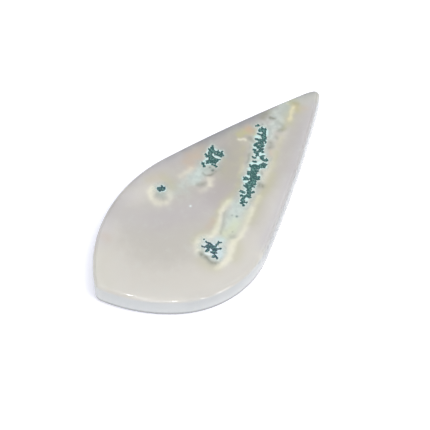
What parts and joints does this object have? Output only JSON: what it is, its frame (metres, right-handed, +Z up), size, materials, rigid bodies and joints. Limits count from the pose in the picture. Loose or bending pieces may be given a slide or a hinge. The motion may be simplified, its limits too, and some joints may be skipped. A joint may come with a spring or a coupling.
{
  "type": "dendritic agate specimen",
  "caption": "Thin flat polished slab of pale grey agate, leaf-shaped with one pointed end, rounded rims and green dendrites inside the stone.",
  "frame": {"origin": "on the base, under the middle of the outline's box", "axes": "+Y along the slab towards its pointed tip, +Z up out of the polished face"},
  "size_m": [0.0252, 0.0508, 0.0038],
  "materials": {
    "polished_agate": "polished translucent grey chalcedony with green dendrites, pale haloes and cream clouds"
  },
  "bodies": {
    "root": {"agate_slab": "polished_agate"}
  },
  "joints": []
}
